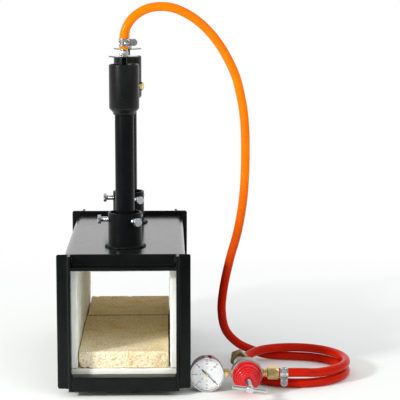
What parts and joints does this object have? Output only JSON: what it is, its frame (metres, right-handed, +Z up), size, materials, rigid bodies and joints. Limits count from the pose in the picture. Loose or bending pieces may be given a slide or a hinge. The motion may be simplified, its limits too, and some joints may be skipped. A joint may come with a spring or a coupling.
{
  "type": "gas forge",
  "caption": "Open-ended box forge, fibre lined and with a brick hearth, under burners in welded holders; a hose, regulator and gauge feed the front one.",
  "frame": {"origin": "on the ground, under the middle of the forge body", "axes": "+Z up, -Y out of the mouth that faces the viewer, +X to the side where the regulator lies"},
  "size_m": [0.5205, 0.5773, 0.6703],
  "materials": {
    "black_paint": "semi-gloss black paint on steel",
    "cast_iron": "painted casting",
    "ceramic_fibre": "matte ceramic fibre blanket",
    "fire_brick": "speckled fire brick",
    "zinc_plate": "zinc plated",
    "plain_steel": "plain steel",
    "bright_plate": "bright plated sheet",
    "brass": "turned brass",
    "zinc_casting": "die casting, satin",
    "red_paint": "gloss red paint",
    "maroon_paint": "gloss dark red paint",
    "orange_hose": "glossy orange hose",
    "black_rubber": "fabric-backed rubber",
    "dial_white": "matte white",
    "gauge_glass": "clear"
  },
  "bodies": {
    "forge": {"body_shell": "black_paint", "roof_liner": "ceramic_fibre", "left_liner": "ceramic_fibre", "right_liner": "ceramic_fibre", "floor_liner": "ceramic_fibre", "front_frame": "black_paint", "rear_frame": "black_paint", "front_runner": "black_paint", "rear_runner": "black_paint", "hearth_brick_front": "fire_brick", "hearth_brick_rear": "fire_brick", "front_burner_holder": "black_paint", "rear_burner_holder": "black_paint", "gas_hose_run": "orange_hose", "gas_hose_coil": "orange_hose", "hose_cuff_regulator": "orange_hose", "regulator_clamp_band": "plain_steel", "regulator_body": "zinc_casting", "regulator_bonnet": "red_paint", "pressure_spring": "plain_steel", "diaphragm": "black_rubber", "outlet_hose_tail": "brass", "outlet_nut": "brass", "inlet_stem": "brass", "gauge_case": "maroon_paint", "gauge_dial": "dial_white", "gauge_lens": "gauge_glass", "gauge_stem": "brass"},
    "front_burner": {"front_burner_tube": "black_paint", "front_burner_bell": "cast_iron", "front_jet_pipe": "black_paint", "front_jet_nozzle": "brass", "front_hose_barb": "brass", "hose_cuff_burner": "orange_hose", "burner_clamp_band": "plain_steel"},
    "rear_burner": {"rear_burner_tube": "black_paint", "rear_burner_bell": "cast_iron", "rear_jet_pipe": "black_paint", "rear_jet_nozzle": "brass", "rear_hose_barb": "brass"},
    "front_choke": {"front_choke_disc": "bright_plate", "front_lock_nut": "zinc_plate"},
    "rear_choke": {"rear_choke_disc": "bright_plate", "rear_lock_nut": "zinc_plate"},
    "front_bell_screw": {"front_bell_screw": "zinc_plate"},
    "rear_bell_screw": {"rear_bell_screw": "brass"},
    "front_bolt_left": {"front_holder_bolt_left": "zinc_plate"},
    "front_bolt_front_right": {"front_holder_bolt_front_right": "zinc_plate"},
    "front_bolt_back_right": {"front_holder_bolt_back_right": "zinc_plate"},
    "rear_bolt_left": {"rear_holder_bolt_left": "zinc_plate"},
    "rear_bolt_front_right": {"rear_holder_bolt_front_right": "zinc_plate"},
    "rear_bolt_back_right": {"rear_holder_bolt_back_right": "zinc_plate"},
    "burner_clamp_screw": {"burner_clamp_screw": "plain_steel"},
    "regulator_clamp_screw": {"regulator_clamp_screw": "plain_steel"},
    "spring_button": {"spring_button": "plain_steel"},
    "adjusting_screw": {"adjusting_screw": "plain_steel"},
    "inlet_nut": {"inlet_nut": "brass"},
    "gauge_needle": {"gauge_needle": "black_paint"}
  },
  "joints": [
    {"name": "front_burner_height", "type": "slide", "parent": "forge", "child": "front_burner", "axis": [0, 0, 1], "range_m": [-0.012, 0.02], "deforming": ["gas_hose_run"]},
    {"name": "rear_burner_height", "type": "slide", "parent": "forge", "child": "rear_burner", "axis": [0, 0, 1], "range_m": [-0.012, 0.02]},
    {"name": "front_choke_height", "type": "slide", "parent": "front_burner", "child": "front_choke", "axis": [0, 0, 1], "range_m": [-0.0124, 0]},
    {"name": "rear_choke_height", "type": "slide", "parent": "rear_burner", "child": "rear_choke", "axis": [0, 0, 1], "range_m": [-0.0124, 0]},
    {"name": "front_bell_screw_out", "type": "slide", "parent": "front_burner", "child": "front_bell_screw", "axis": [-0.8192, 0.5736, 0], "range_m": [0, 0.008]},
    {"name": "rear_bell_screw_out", "type": "slide", "parent": "rear_burner", "child": "rear_bell_screw", "axis": [0.9397, -0.342, 0], "range_m": [0, 0.008]},
    {"name": "front_bolt_left_out", "type": "slide", "parent": "forge", "child": "front_bolt_left", "axis": [-1, 0, 0], "range_m": [0, 0.008]},
    {"name": "front_bolt_front_right_out", "type": "slide", "parent": "forge", "child": "front_bolt_front_right", "axis": [0.5, -0.866, 0], "range_m": [0, 0.008]},
    {"name": "front_bolt_back_right_out", "type": "slide", "parent": "forge", "child": "front_bolt_back_right", "axis": [0.5, 0.866, 0], "range_m": [0, 0.008]},
    {"name": "rear_bolt_left_out", "type": "slide", "parent": "forge", "child": "rear_bolt_left", "axis": [-1, 0, 0], "range_m": [0, 0.008]},
    {"name": "rear_bolt_front_right_out", "type": "slide", "parent": "forge", "child": "rear_bolt_front_right", "axis": [0.5, -0.866, 0], "range_m": [0, 0.008]},
    {"name": "rear_bolt_back_right_out", "type": "slide", "parent": "forge", "child": "rear_bolt_back_right", "axis": [0.5, 0.866, 0], "range_m": [0, 0.008]},
    {"name": "burner_clamp_turn", "type": "hinge", "parent": "front_burner", "child": "burner_clamp_screw", "pos_m": [0.0178, -0.109, 0.6001], "axis": [0, -1, 0], "continuous": true},
    {"name": "regulator_clamp_turn", "type": "hinge", "parent": "forge", "child": "regulator_clamp_screw", "pos_m": [0.2779, -0.2157, 0.01319], "axis": [0, -0.9781, 0.2079], "continuous": true},
    {"name": "button_slide", "type": "slide", "parent": "forge", "child": "spring_button", "axis": [0, 1, 0], "range_m": [-0.0018, 0.0072]},
    {"name": "adjusting_turn", "type": "hinge", "parent": "spring_button", "child": "adjusting_screw", "pos_m": [0.213, -0.29, 0.0306], "axis": [0, 1, 0], "range_deg": [-324.5, 1296.5]},
    {"name": "inlet_nut_turn", "type": "hinge", "parent": "forge", "child": "inlet_nut", "pos_m": [0.201, -0.173, 0.0456], "axis": [0, 1, 0], "continuous": true},
    {"name": "needle_turn", "type": "hinge", "parent": "forge", "child": "gauge_needle", "pos_m": [0.1432, -0.2228, 0.0306], "axis": [0, 1, 0], "range_deg": [0, 270], "stiffness_Nm_per_rad": 0.0005}
  ],
  "couplings": [
    {"joint": "adjusting_turn", "follows": "button_slide", "rad_per_m": 3141.6}
  ]
}
